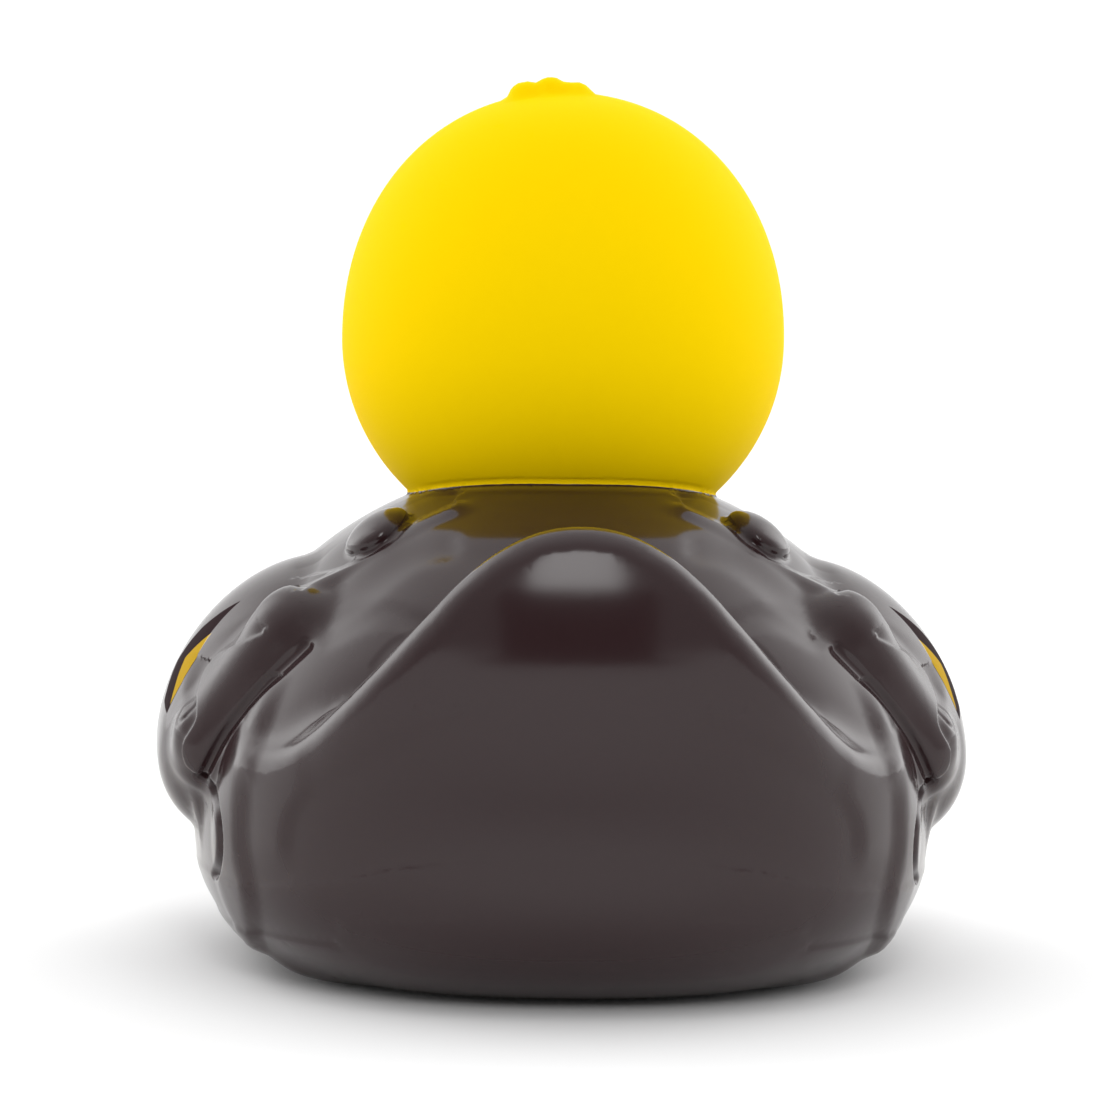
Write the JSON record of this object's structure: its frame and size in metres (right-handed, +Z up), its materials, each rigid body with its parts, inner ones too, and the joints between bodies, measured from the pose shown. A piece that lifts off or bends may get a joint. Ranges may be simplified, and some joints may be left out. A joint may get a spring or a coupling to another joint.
{
  "type": "rubber duck",
  "caption": "Hollow vinyl bath duck in a moulded suit with a raised curved tail, round head and tuft, flat base, and a squeaker snapped into the base.",
  "frame": {"origin": "on the flat base, in the middle of the torso's plan", "axes": "+Z up from the flat base through the head; the duck faces -Y and its tail is at +Y; +X is the duck's left"},
  "size_m": [0.0816, 0.0838, 0.0882],
  "materials": {
    "vinyl": "soft vinyl, matte yellow on the head, painted glossy dark brown on the suit",
    "squeaker_plastic": "plain white moulded plastic",
    "reed": "thin film"
  },
  "bodies": {
    "root": {"duck_shell": "vinyl", "squeaker_barrel": "squeaker_plastic", "squeaker_reed": "reed", "squeaker_cap": "squeaker_plastic"}
  },
  "joints": []
}
